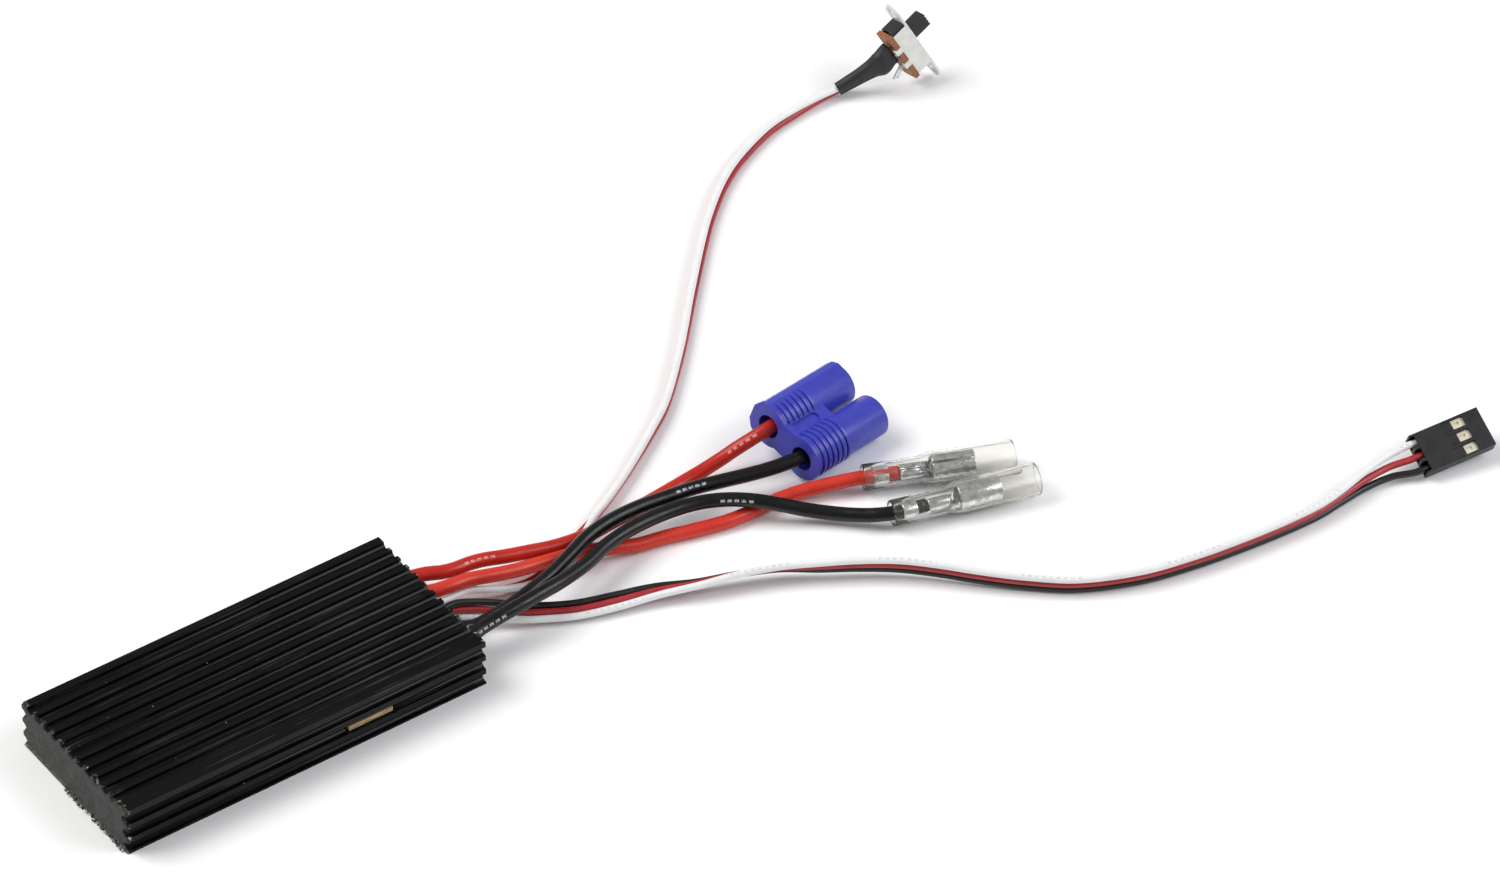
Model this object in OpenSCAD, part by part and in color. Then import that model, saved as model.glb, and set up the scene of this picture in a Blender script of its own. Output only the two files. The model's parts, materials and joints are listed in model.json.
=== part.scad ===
// Brushed-motor electronic speed controller: a finned aluminium channel potted
// around its board, with battery, motor, receiver and switch leads at one end.
// Millimetres, +Z up. The origin is the centre of the channel's underside, +X
// runs along the channel towards the leads, and everything lies on z = 0.

/* [Case] */
// Length of the case from end to end
case_length = 73; // [60:1:90]
// Width of the case across its ribs
case_width = 33; // [32:0.5:36]
// Height of the case
case_height = 9.8; // [9.6:0.1:11]
// Spacing of the grooves across the top
top_pitch = 2.65; // [2.4:0.05:2.8]
// Radius of a top groove's round bottom
top_groove_r = 0.83; // [0.6:0.01:1]
// Radius of a side groove's round bottom
side_groove_r = 0.98; // [0.8:0.02:1.1]

/* [Board] */
// Thickness of the circuit board
board_thickness = 1; // [0.8:0.1:1.2]
// Height of the middle of the board above the underside
board_z = 4; // [3.9:0.1:4.2]

/* [Wires] */
// Outer diameter of the four power wires
power_wire_d = 2.6; // [2.2:0.1:2.8]
// Outer diameter of one strand of the thin leads
strand_d = 1.3; // [1:0.05:1.4]

/* [Battery plug] */
// Length of the battery plug's housing
plug_length = 18.5; // [17:0.5:22]
// Distance between its two pins
plug_pitch = 8.6; // [8.4:0.1:9]
// Diameter of one of its barrels
barrel_d = 7.9; // [7.6:0.1:8.2]
// Diameter of its male pins
pin_d = 3.5; // [3.3:0.1:3.6]

/* [Motor sockets] */
// Outer diameter of the bullet socket's barrel
socket_d = 4.6; // [4.4:0.1:4.7]
// Bore of the bullet socket
socket_bore_d = 3.9; // [3.5:0.1:4]
// Outer diameter of the clear sleeve
sleeve_d = 6.1; // [5.8:0.1:6.6]

/* [Switch] */
// Travel of the slide switch's knob
switch_travel = 4; // [3:0.1:4]
// Length of the switch's mounting plate
ear_span = 19.4; // [18:0.1:21]
// Distance between the two mounting holes
ear_pitch = 15.2; // [14.8:0.1:16]

/* [Hidden] */
$fn = 48;
eps = 0.01;
gap = 0.05;

// ---- case sizes
end_skin = 0.4;                       // resin smeared over the blind end
case_x0 = -case_length / 2 + end_skin;
case_x1 = case_length / 2;
cavity_half = case_width / 2 - 2.5;
ceiling_z = case_height - 2.3;
top_groove_deep = 0.1;                // straight part above the round bottom
top_first_y = case_width / 2 - 2.5;
top_count = 11;
side_lip = 0.42;                      // foot under the lowest side groove
side_pitch = 3.1;
side_groove_deep = 0.25;              // straight part outside the round bottom
resin_z0 = 0.2;
resin_x1 = case_x1 - 0.6;

// ---- board sizes
board_x0 = -30;
board_x1 = 28;
board_half = 13.7;
board_top = board_z + board_thickness / 2;
board_bottom = board_z - board_thickness / 2;
tab_x = 13.15;
tab_length = 9;
tab_y = case_width / 2 - 0.6;
slot_r = board_thickness / 2 + 0.15;
slot_half = tab_length / 2 + 0.55 - slot_r;
wire_start_x = board_x1 + 0.6;
chip_top = board_top + 2.3;

// ---- wires
power_r = power_wire_d / 2;
strand_r = strand_d / 2;
strand_pitch = strand_d + 0.06;
contact_pitch = 2.54;
power_z = board_top + 1.4;

// ---- where each connector lies: [place, turn about x, y and z]
plug_pose = [[110.8, -1.4, 6.7], [16.5, 4.5, 11]];
socket_pos_pose = [[119, -13.6, sleeve_d / 2], [0, 0, -23]];
socket_neg_pose = [[117.5, -24.2, sleeve_d / 2], [0, 0, -15.5]];
receiver_pose = [[202.5, -65.9, 3], [27, -6, -9]];
switch_pose = [[195.9, 75.05, 9.3], [-34, 60, -33]];
terminal_tip = -7.9;                  // the terminals' ends, along the switch's z

function turned(p, r) =
    let (a = [p.x, p.y * cos(r.x) - p.z * sin(r.x), p.y * sin(r.x) + p.z * cos(r.x)],
         b = [a.x * cos(r.y) + a.z * sin(r.y), a.y, a.z * cos(r.y) - a.x * sin(r.y)])
    [b.x * cos(r.z) - b.y * sin(r.z), b.x * sin(r.z) + b.y * cos(r.z), b.z];

function at(pose, p) = pose[0] + turned(p, pose[1]);

module lay(pose) {
    translate(pose[0]) rotate(pose[1]) children();
}

// ---- routes of the wires' centre lines
plug_wire_x = 3.5;                    // where a battery wire meets its pin
socket_wire_x = 6.4;                  // where a motor wire's insulation ends

battery_positive_route = [
    [wire_start_x, 8.2, power_z], [36.5, 8.2, power_z], [40.2, 7.4, power_z],
    [42.6, 6.3, 5.8], [45.2, 5.8, 5.6], [48, 5.8, 5.35], [51, 5.4, 5.05],
    [54.5, 4.5, 4.6], [59, 3.6, 4], [64.5, 2.6, 3.3], [70.5, 2.1, 3],
    [76.5, 2.8, 2.6], [84, 4, 1.8], [91.5, 4.9, 1.6], [97, 4.9, 2.3],
    [101, 4.5, 3.5], [104, 4, 4.8], [107, 3.2, 6.3], at(plug_pose, [0.3, plug_pitch / 2 - 0.1, -0.4]),
    at(plug_pose, [plug_wire_x, plug_pitch / 2, 0])];

battery_negative_route = [
    [wire_start_x, -7.3, power_z], [36.2, -7.3, power_z], [40, -7.7, 4.9],
    [44, -7.8, 5.2], [48.5, -7.3, 5.5], [53, -6.5, 5.8], [58, -5.1, 5.8],
    [63.5, -2.9, 5.8], [69, -0.7, 5.8], [74, 0.4, 5.7], [80, 0.9, 5.3],
    [86, 0.6, 4.9], [92, 0, 4.6], [97, -1.2, 4.5], [102, -2.7, 4.6],
    [107, -4.2, 5], at(plug_pose, [0.2, 0.4 - plug_pitch / 2, -0.2]),
    at(plug_pose, [plug_wire_x, -plug_pitch / 2, 0])];

motor_positive_route = [
    [wire_start_x, 3.4, power_z], [36.5, 3.4, power_z], [39.5, 2.75, power_z],
    [42.5, 2.35, 5.85], [45.6, 2.2, 5.55], [48.5, 1.65, 5.15], [51.5, 1.05, 4.7],
    [55, 0.6, 4.15], [60.5, 0.2, 3.4], [65.5, -0.5, 3], [71, -1.9, 2.5],
    [77, -3.7, 1.6], [83, -4.8, 1.35], [89, -6.5, 1.35], [95, -7.8, 1.35],
    [101, -8, 1.4], [107, -8.9, 1.9], [113, -11, 2.5], at(socket_pos_pose, [-1, 0, 0]),
    at(socket_pos_pose, [socket_wire_x, 0, 0])];

motor_negative_route = [
    [wire_start_x, -10.5, power_z], [36.5, -10.5, power_z], [40, -10, 6.3],
    [44.5, -10, 7], [48.5, -9.9, 7.3], [52.5, -9.5, 7.3],
    [56.5, -8.9, 7], [60.5, -7.8, 6.4], [65, -6.4, 5.9], [70, -4.5, 5.7],
    [76, -3, 5.2], [83, -2.6, 4.8], [89.5, -3.4, 4.6], [94.5, -5.4, 4.5],
    [98.5, -8.3, 4.4], [102, -11.3, 3.9], [106, -14.3, 2.7], [110, -17.7, 2.2],
    [113.2, -20.9, 2.5], [115.6, -23, 2.9], at(socket_neg_pose, [1, 0, 0]),
    at(socket_neg_pose, [socket_wire_x, 0, 0])];

// The switch lead inside its shrink tube, up to the tips of the terminals
shrink_lead = [
    [[181, 78.6, 1.8], 119, 1.02], [[182.9, 78.05, 2.7], 114, 1.02],
    [[184.9, 77.05, 4.1], 106, 1.02], [[187, 75.8, 5.9], 90, 1.1],
    [at(switch_pose, [-1.25, 0, terminal_tip - 0.2]), 72, 1.45]];

// The ribbons' own centre lines: [place, roll, spread]. The roll is the way the
// white edge points, seen along the lead: 0 is to the left and 90 is up.
switch_ribbon = [
    [[wire_start_x, 1.2, board_z], 90, 1], [[36.5, 1.2, board_z], 90, 1],
    [[40, 1.7, 3.6], 118, 1], [[43.3, 2.2, 3.25], 133, 1], [[45.4, 2.2, 3.15], 137, 1],
    [[47.7, 1.5, 2.7], 138, 1], [[50.3, 0.5, 2.1], 139, 1], [[53.1, -0.2, 1.5], 145, 1],
    [[56.5, -0.5, 1.05], 162, 1], [[60.5, 0.1, 0.8], 175, 1], [[65, 1.8, 0.75], 178, 1],
    [[69.5, 3.9, 0.9], 165, 1.02], [[72.3, 5.25, 1.2], 138, 1.02], [[75.2, 6.75, 1.35], 113, 1],
    [[80, 9.2, 1.35], 109, 1],
    [[87.5, 13.6, 1.35], 104, 1], [[97, 19.8, 1.4], 94, 1], [[104, 25, 1.4], 88, 1],
    [[114.5, 35.3, 1.4], 80, 1], [[125, 46.7, 1.4], 73, 1], [[136, 58.3, 1.4], 70, 1],
    [[142, 64, 1.4], 71, 1], [[148, 68.9, 1.4], 73, 1], [[154.5, 72.9, 1.4], 75, 1],
    [[163.5, 76.7, 1.4], 78, 1], [[170.5, 78.1, 1.4], 86, 1], [[176.5, 78.7, 1.5], 107, 1],
    each shrink_lead];

receiver_ribbon = [
    [[wire_start_x, -1.6, board_z], 270, 1], [[36.5, -1.6, board_z], 270, 1],
    [[40, -1.75, 4.2], 257, 1], [[43.5, -3.2, 3.7], 245, 1], [[46, -4.6, 3.2], 232, 1],
    [[49.7, -6.8, 2.5], 212, 1], [[53, -8.5, 1.9], 198, 1], [[59, -11.6, 1.75], 193, 1],
    [[65.8, -13.8, 1.8], 188, 1], [[72.8, -15.8, 1.95], 172, 1], [[79.3, -18.8, 2.4], 151, 1],
    [[86.3, -21.3, 2.8], 138, 1], [[93, -24.2, 3], 130, 1], [[99, -27.9, 3], 115, 1],
    [[105, -31.6, 3], 108, 1], [[110.7, -35.8, 3], 104, 1], [[115.8, -40.6, 2.8], 103, 1],
    [[120.7, -45.7, 2.5], 102, 1], [[127, -51.6, 2.15], 102, 1], [[134, -57.2, 2.1], 102, 1],
    [[144, -61.7, 2.1], 101, 1], [[154, -64, 2.1], 99, 1], [[163, -65.2, 2.05], 98, 1],
    [[172, -66, 2.05], 96, 1], [[180, -66.2, 2.05], 92, 1], [[186, -65.5, 2.1], 86, 1],
    [[191.5, -64.8, 2.3], 68, 1.05], [[197, -64.8, 2.6], 42, 1.32],
    [at(receiver_pose, [-1.2, 0, 0]), 27, contact_pitch / strand_pitch],
    [at(receiver_pose, [2, 0, 0]), 27, contact_pitch / strand_pitch]];

// Unit direction of a list of points at point i
function heading(pts, i) =
    let (a = pts[max(i - 1, 0)], b = pts[min(i + 1, len(pts) - 1)])
    (b - a) / norm(b - a);

// One strand of a ribbon, side pitches away from its centre line
function strand(ribbon, side) =
    let (mid = [for (r = ribbon) r[0]])
    [for (i = [0 : len(ribbon) - 1])
        let (h = heading(mid, i),
             left = cross([0, 0, 1], h) / norm(cross([0, 0, 1], h)),
             up = cross(h, left),
             roll = ribbon[i][1])
        mid[i] + side * strand_pitch * ribbon[i][2] * (cos(roll) * left + sin(roll) * up)];

// ---- general shapes
// A tube with eight sides through a list of points
module tube(pts, r, colour) {
    sides = 8;
    n = len(pts);
    rings = [for (i = [0 : n - 1])
        let (h = heading(pts, i),
             left = cross([0, 0, 1], h) / norm(cross([0, 0, 1], h)),
             up = cross(h, left))
        for (k = [0 : sides - 1])
            pts[i] + r * (cos(360 * (k + 0.5) / sides) * left
                          + sin(360 * (k + 0.5) / sides) * up)];
    walls = [for (i = [0 : n - 2], k = [0 : sides - 1])
        let (a = i * sides + k, b = i * sides + (k + 1) % sides)
        [a, a + sides, b + sides, b]];
    start_cap = [[for (k = [0 : sides - 1]) k]];
    end_cap = [[for (k = [sides - 1 : -1 : 0]) (n - 1) * sides + k]];
    color(colour) polyhedron(rings, concat(start_cap, walls, end_cap), convexity = 10);
}

// A block given by its low corner and its size
module block(low, size) {
    translate(low) cube(size);
}

// A cylinder along x, from x0 to x1
module rod(x0, x1, r) {
    translate([x0, 0, 0]) rotate([0, 90, 0]) cylinder(h = x1 - x0, r = r);
}

// ---- case
module case_outline() {
    difference() {
        translate([-case_width / 2, 0]) square([case_width, case_height]);
        for (i = [0 : top_count - 1])
            translate([top_first_y - i * top_pitch, case_height - top_groove_deep])
                top_groove();
        for (s = [-1, 1], i = [0 : 2])
            translate([s * case_width / 2, side_lip + side_groove_r + side_pitch * i])
                side_groove(s);
    }
}

module top_groove() {
    circle(r = top_groove_r);
    translate([-top_groove_r, 0]) square([2 * top_groove_r, 1]);
}

module side_groove(s) {
    translate([-s * side_groove_deep, 0]) circle(r = side_groove_r);
    translate([-side_groove_deep, -side_groove_r])
        square([2 * side_groove_deep, 2 * side_groove_r]);
}

// Stands a y-z outline up along x, from x0 to x1
module along_x(x0, x1) {
    translate([x0, 0, 0]) rotate([90, 0, 90]) linear_extrude(x1 - x0) children();
}

module heatsink_case() {
    color("#1b1b1c") difference() {
        along_x(case_x0, case_x1) case_outline();
        block([case_x0 - 1, -cavity_half, -1], [case_length + 2, 2 * cavity_half, ceiling_z + 1]);
        tab_slot();
    }
}

// The slot in the near wall that the board's tab shows through
module tab_slot() {
    for (s = [-1, 1]) translate([tab_x + s * slot_half, -cavity_half + 1, board_z])
        rotate([90, 0, 0]) cylinder(h = case_width, r = slot_r);
    block([tab_x - slot_half, -case_width, board_z - slot_r],
          [2 * slot_half, case_width - cavity_half + 1, 2 * slot_r]);
}

// ---- resin
module potting_compound() {
    color("#4a4a4c") difference() {
        union() {
            block([case_x0, -cavity_half, resin_z0],
                  [resin_x1 - case_x0, 2 * cavity_half, ceiling_z - resin_z0]);
            along_x(case_x0 - end_skin, case_x0) offset(delta = -0.12) case_outline();
        }
        grow_board();
        tab_slot();
        grow_parts();
        lead_tunnels();
    }
}

// Room for the board and its tab
module grow_board() {
    block([board_x0 - gap, -board_half - gap, board_bottom - gap],
          [board_x1 - board_x0 + 2 * gap, 2 * (board_half + gap), board_thickness + 2 * gap]);
}

// Room for the parts on both faces of the board, as plain blocks
module grow_parts() {
    block([pad_at[0] - pad_at[2] / 2 - gap, -pad_at[3] / 2 - gap, board_top - eps],
          [pad_at[2] + 2 * gap, pad_at[3] + 2 * gap, ceiling_z - board_top + 2 * eps]);
    for (b = under_blocks)
        block([b[0] - b[2] / 2 - gap, b[1] - b[3] / 2 - gap, board_bottom - b[4] - gap],
              [b[2] + 2 * gap, b[3] + 2 * gap, b[4] + 2 * gap]);
    block([pads_x - gap, -12.4, board_bottom - 1.6], [wire_start_x - pads_x + gap, 22.4, 5]);
}

module lead_tunnels() {
    for (r = [battery_positive_route, battery_negative_route,
              motor_positive_route, motor_negative_route])
        translate([0, r[0].y, r[0].z]) rod(wire_start_x - 1, case_x1 + 1, power_r + gap);
    for (s = [-0.5, 0.5])
        translate(strand(switch_ribbon, s)[0] - [wire_start_x, 0, 0])
            rod(wire_start_x - 1, case_x1 + 1, strand_r + gap);
    for (s = [-1, 0, 1])
        translate(strand(receiver_ribbon, s)[0] - [wire_start_x, 0, 0])
            rod(wire_start_x - 1, case_x1 + 1, strand_r + gap);
}

// ---- board and its parts
module circuit_board() {
    color("#20462c") {
        block([board_x0, -board_half, board_bottom],
              [board_x1 - board_x0, 2 * board_half, board_thickness]);
        block([tab_x - tab_length / 2, -tab_y, board_bottom],
              [tab_length, tab_y - board_half + 1, board_thickness]);
    }
}

fet_x = [-21, -12.5, -4, 4.5];
fet_y = 5.4;
pad_at = [-8.25, 0, 36, 21.4];        // place, length and width of the pad
pads_x = 24;                          // where the solder pads of the wires start

module power_mosfets() {
    for (x = fet_x, s = [-1, 1])
        translate([x, s * fet_y, board_top]) rotate([0, 0, s > 0 ? 0 : 180]) dpak();
}

// A flat three-lead power package, its tab towards +y
module dpak() {
    color("#1c1c1e") block([-3.3, -3.1, 0.02], [6.6, 6.1, 2.28]);
    color("silver") block([-2.6, 3, 0], [5.2, 1.9, 0.5]);
    color("silver") for (x = [-2.3, 2.3]) block([x - 0.4, -5, 0], [0.8, 1.9, 0.5]);
}

// A flat eight-lead package: body length, width over the leads
module so8(l, w) {
    color("#1c1c1e") block([-l / 2, -w * 0.33, 0.12], [l, w * 0.66, 1.48]);
    color("silver") for (i = [-1.5 : 1 : 1.5], s = [-1, 1])
        block([i * 1.27 - 0.2, s > 0 ? w * 0.33 : -w / 2, 0], [0.4, w * 0.17, 0.25]);
}

module thermal_pad() {
    color("#8fa3b5")
        block([pad_at[0] - pad_at[2] / 2, pad_at[1] - pad_at[3] / 2, chip_top],
              [pad_at[2], pad_at[3], ceiling_z - chip_top]);
}

// Parts under the board: [x, y, length, width, height]
driver_at = [-20, 8, 5, 6, 1.6];
micro_at = [-8, 6, 7, 7, 1.2];
resonator_at = [0, 9, 3.2, 1.4, 1];
regulator_at = [12, 6, 10, 6.6, 2.3];
diode_at = [-14, -8, 7, 4, 2.3];
bulk_at = [[-24, -6, 7.4, 4.4, 2.9], [0, -6, 7.4, 4.4, 2.9], [12, -6, 7.4, 4.4, 2.9]];
cap_at = [for (i = [0 : 5]) [-26 + 4 * i, 1, 2, 1.3, 0.9]];
res_at = [for (i = [0 : 6]) [-2 + 3 * i, 0.6, 1.6, 0.8, 0.5]];
under_blocks = concat([driver_at, micro_at, resonator_at, regulator_at, diode_at],
                      bulk_at, cap_at, res_at);

// Hangs a part under the board, so that it is drawn upright from z = 0
module under(part) {
    translate([part[0], part[1], board_bottom]) mirror([0, 0, 1]) children();
}

module gate_driver() {
    under(driver_at) so8(4.9, 5.9);
}

module microcontroller() {
    under(micro_at) {
        color("#1c1c1e") block([-2.5, -2.5, 0.1], [5, 5, 1.1]);
        color("silver") for (a = [0 : 90 : 270], i = [-3.5 : 1 : 3.5])
            rotate([0, 0, a]) block([2.5, i * 0.56 - 0.12, 0], [0.95, 0.24, 0.2]);
    }
}

module ceramic_resonator() {
    under(resonator_at) color("#b9b4a6") block([-1.6, -0.7, 0], [3.2, 1.4, 1]);
}

module voltage_regulator() {
    under(regulator_at) {
        color("#1c1c1e") block([-2.6, -3.3, 0.05], [5.6, 6.6, 2.25]);
        color("silver") block([3, -2.7, 0], [2, 5.4, 0.5]);
        color("silver") for (y = [-2.3, 2.3])
            block([-5, y - 0.4, 0], [2.4, 0.8, 0.5]);
    }
}

module flyback_diode() {
    under(diode_at) {
        color("#1c1c1e") block([-2.8, -2, 0.1], [5.6, 4, 2.2]);
        color("silver") for (s = [-1, 1])
            block([s > 0 ? 2.8 : -3.5, -1.2, 0], [0.7, 2.4, 1.2]);
    }
}

module bulk_capacitors() {
    for (b = bulk_at) under(b) {
        color("#c9922e") block([-3.4, -2.1, 0.1], [6.8, 4.2, 2.7]);
        color("silver") for (s = [-1, 1])
            block([s > 0 ? 3.4 : -3.65, -1.2, 0], [0.25, 2.4, 1.4]);
    }
}

module chip_capacitors() {
    for (c = cap_at) under(c) {
        color("#a98b66") block([-0.6, -0.6, 0], [1.2, 1.2, 0.85]);
        color("silver") for (s = [-1, 1])
            block([s > 0 ? 0.6 : -1, -0.6, 0], [0.4, 1.2, 0.85]);
    }
}

module chip_resistors() {
    for (c = res_at) under(c) {
        color("#17171a") block([-0.5, -0.4, 0], [1, 0.8, 0.45]);
        color("silver") for (s = [-1, 1])
            block([s > 0 ? 0.5 : -0.8, -0.4, 0], [0.3, 0.8, 0.45]);
    }
}

lead_pad_x = 26;                       // where the thin leads' pads start
power_core_r = 0.75;                   // bare ends of a power wire and a thin one
lead_core_r = 0.16;

// Each wire's bare end in its pad of solder
module solder_joints() {
    color("#c8ccd0") {
        for (r = [battery_positive_route, battery_negative_route,
                  motor_positive_route, motor_negative_route]) {
            block([pads_x + 0.4, r[0].y - 1.1, board_top], [board_x1 - pads_x - 0.4, 2.2, 1.4]);
            translate([0, r[0].y, r[0].z]) rod(pads_x + 0.8, wire_start_x, power_core_r);
        }
        for (p = [strand(switch_ribbon, 0.5)[0], strand(receiver_ribbon, -1)[0]]) {
            block([lead_pad_x, p.y - 0.5, board_top],
                  [board_x1 - lead_pad_x, 1, p.z - board_top + 0.3]);
            translate([0, p.y, p.z]) rod(lead_pad_x + 0.4, wire_start_x, lead_core_r);
        }
        for (p = [strand(switch_ribbon, -0.5)[0], strand(receiver_ribbon, 1)[0]]) {
            block([lead_pad_x, p.y - 0.5, p.z - 0.3],
                  [board_x1 - lead_pad_x, 1, board_bottom - p.z + 0.3]);
            translate([0, p.y, p.z]) rod(lead_pad_x + 0.4, wire_start_x, lead_core_r);
        }
        block([board_x1, receiver_ribbon[0][0].y - 0.5, board_bottom],
              [wire_start_x - board_x1, 1, board_thickness]);
    }
}

// ---- wires
red = "#cc2f22";
black = "#242426";
white = "#f0f0ee";

module battery_wire_positive() { tube(battery_positive_route, power_r, red); }
module battery_wire_negative() { tube(battery_negative_route, power_r, black); }
module motor_wire_positive() { tube(motor_positive_route, power_r, red); }
module motor_wire_negative() { tube(motor_negative_route, power_r, black); }
module switch_wire_white() { tube(strand(switch_ribbon, 0.5), strand_r, white); }
module switch_wire_red() { tube(strand(switch_ribbon, -0.5), strand_r, red); }
module receiver_wire_signal() { tube(strand(receiver_ribbon, 1), strand_r, white); }
module receiver_wire_positive() { tube(strand(receiver_ribbon, 0), strand_r, red); }
module receiver_wire_negative() { tube(strand(receiver_ribbon, -1), strand_r, black); }

// ---- battery plug: x runs from the wires to the mating end, y across
grip_length = 8.5;
web_x = [9, 10];                      // the wall that holds the pins
cup_r = 2;
barb_r = 2.1;                         // where the pin is pressed into that wall
pin_tip = 0.8;                        // length of the cone at a pin's end
barrel_r = barrel_d / 2;
flange_length = 0.8;
rib_height = 0.3;

module battery_plug_housing() {
    color("#3036b4") lay(plug_pose) difference() {
        union() {
            for (s = [-1, 1]) translate([0, s * plug_pitch / 2, 0]) {
                rod(0, plug_length, barrel_r);
                rod(0, flange_length, barrel_r + rib_height);
                for (i = [0 : 5]) rod(1.5 + 1.25 * i, 2.3 + 1.25 * i, barrel_r + rib_height);
            }
            along_x(0, plug_length) translate([plug_pitch / 2, 0]) keyed_side(barrel_r);
            along_x(0, flange_length) translate([plug_pitch / 2, 0])
                keyed_side(barrel_r + rib_height);
            block([0, -plug_pitch / 2, -2.9], [grip_length + 1.5, plug_pitch, 5.8]);
            block([0, -plug_pitch / 2, -3.3], [flange_length, plug_pitch, 6.6]);
        }
        for (s = [-1, 1]) translate([0, s * plug_pitch / 2, 0]) {
            rod(-1, plug_wire_x, 2.25);
            rod(plug_wire_x - eps, web_x[0], cup_r);
            rod(web_x[0] - eps, web_x[1] + eps, barb_r);
            rod(web_x[1], plug_length + 1, barrel_r - 0.95);
        }
        // the arched panels sunk into the web, above and below
        for (s = [-1, 1]) mirror([0, 0, s > 0 ? 0 : 1]) translate([1.1, 0, 2.5]) {
            block([0.6, -1.1, 0], [4.8, 2.2, 1]);
            translate([5.4, 0, 0]) cylinder(h = 1, r = 1.1);
        }
        // the slot between the two barrels
        block([grip_length + 1.5, -(plug_pitch / 2 - barrel_r), -barrel_r - 1],
              [plug_length, plug_pitch - 2 * barrel_r, 2 * barrel_r + 2]);
    }
}

// The flat-sided half that keys the positive barrel
module keyed_side(r) {
    polygon([[0, r], [r * 0.45, r], [r * 0.78, r * 0.78], [r, r * 0.4],
             [r, -r * 0.4], [r * 0.78, -r * 0.78], [r * 0.45, -r], [0, -r]]);
}

module battery_pin(side) {
    color("#d8a93c") lay(plug_pose) translate([0, side * plug_pitch / 2, 0]) difference() {
        union() {
            rod(plug_wire_x, web_x[0], cup_r);
            rod(web_x[0], web_x[1], barb_r);
            rod(web_x[1], plug_length - 2.4, pin_d / 2);
            translate([plug_length - 2.4, 0, 0]) rotate([0, 90, 0])
                cylinder(h = pin_tip, r1 = pin_d / 2, r2 = pin_d / 2 - 0.6);
        }
        for (a = [0, 90]) rotate([a, 0, 0])
            block([web_x[1] + 3.6, -pin_d, -0.15], [plug_length, 2 * pin_d, 0.3]);
    }
}

module battery_pin_positive() { battery_pin(1); }
module battery_pin_negative() { battery_pin(-1); }

// ---- motor sockets: x runs from the wire end to the mating end
barrel_x = [12.4, 20.2];

module motor_socket(pose) {
    color("#b9bcb6") lay(pose) difference() {
        union() {
            difference() {                       // grip on the insulation
                rod(2, 4.3, power_r + 0.4);
                rod(1, 5, power_r + 0.02);
            }
            block([2, -0.65, -power_r - 0.4], [barrel_x[0] - 1.8, 1.3, 0.36]);
            rod(socket_wire_x + 0.1, 10, power_r - 0.1);
            translate([10, 0, 0]) rotate([0, 90, 0])
                cylinder(h = barrel_x[0] - 10, r1 = power_r - 0.3, r2 = socket_d / 2 - 0.5);
            rod(barrel_x[0], barrel_x[1], socket_d / 2);
        }
        rod(barrel_x[0] + 0.8, barrel_x[1] + 1, socket_bore_d / 2);
        block([barrel_x[0] + 0.8, -0.15, 0], [10, 0.3, socket_d]);
    }
}

module motor_socket_positive() { motor_socket(socket_pos_pose); }
module motor_socket_negative() { motor_socket(socket_neg_pose); }

sleeve_length = 27.4;
sleeve_neck_r = power_r + 1.05;

module motor_sleeve(pose) {
    color([0.9, 0.9, 0.82, 0.45]) lay(pose) rotate([0, 90, 0]) rotate_extrude() difference() {
        polygon([[0, 0], [sleeve_neck_r, 0], [sleeve_neck_r, 10.6], [sleeve_d / 2, 12.4],
                 [sleeve_d / 2, sleeve_length], [0, sleeve_length]]);
        polygon([[0, -1], [sleeve_neck_r - 0.5, -1], [sleeve_neck_r - 0.5, 10.6],
                 [sleeve_d / 2 - 0.6, 12.2], [sleeve_d / 2 - 0.6, sleeve_length + 1],
                 [0, sleeve_length + 1]]);
    }
}

module motor_sleeve_positive() { motor_sleeve(socket_pos_pose); }
module motor_sleeve_negative() { motor_sleeve(socket_neg_pose); }

// ---- receiver plug: x runs from the wires to the mating end, y across
shell_length = 14;
shell_width = 7.7;
shell_thickness = 2.6;
bay = 1.84;                           // width of one contact's bay

module receiver_plug_housing() {
    color("#1d1d1f") lay(receiver_pose) difference() {
        block([0, -shell_width / 2, -shell_thickness / 2],
              [shell_length, shell_width, shell_thickness]);
        for (i = [-1 : 1]) translate([0, i * contact_pitch, 0]) {
            block([-1, -bay / 2, -bay / 2], [shell_length, bay, bay]);
            block([shell_length - 2, -0.45, -0.45], [3, 0.9, 0.9]);
            block([8.3, -bay / 2, 0], [2.4, bay, shell_thickness]);
            block([-1, -bay / 2, 0], [2, bay, shell_thickness]);
            // the thin latch in front of the window
            block([6.3, -bay / 2, shell_thickness / 2 - 0.2], [2.1, bay, 1]);
        }
    }
}

module receiver_plug_contacts() {
    color("#d9c48a") lay(receiver_pose) for (i = [-1 : 1])
        translate([0, i * contact_pitch, 0]) difference() {
            union() {
                rod(2, 5.6, 0.62);
                block([5.4, -0.85, -0.8], [7.2, 1.7, 1.6]);
            }
            block([6.8, -0.4, -0.4], [7, 0.8, 0.8]);
            block([8.6, -0.3, 0.5], [1.2, 0.6, 1]);
        }
}

// ---- slide switch: x runs along the plate, z towards the knob
plate_thickness = 0.5;
body_half = 4.9;
base_over = 0.5;                      // how far the base stands out at each end
fold_x = [-1.7, 1.7];                 // the tabs that fold over the base
fold = 0.95;
skirt_half = 2.2;
plate_width = 2 * skirt_half;
ear_corner = 2.6;                     // side of the square that cuts an ear's corner
skirt_t = 0.35;
base_z = [-4.7, -3.7];
slider_rest = -switch_travel / 2;
slider_half = 3.6;
knob_half = 1.3;
knob_width = 2.9;
knob_height = 4;
terminals = [[-2.5, 0], [0, 0], [2.5, 25]];   // place along x, and lean of the tag
tag_z = base_z[0] - 0.4;              // where a terminal's tag starts

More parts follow.
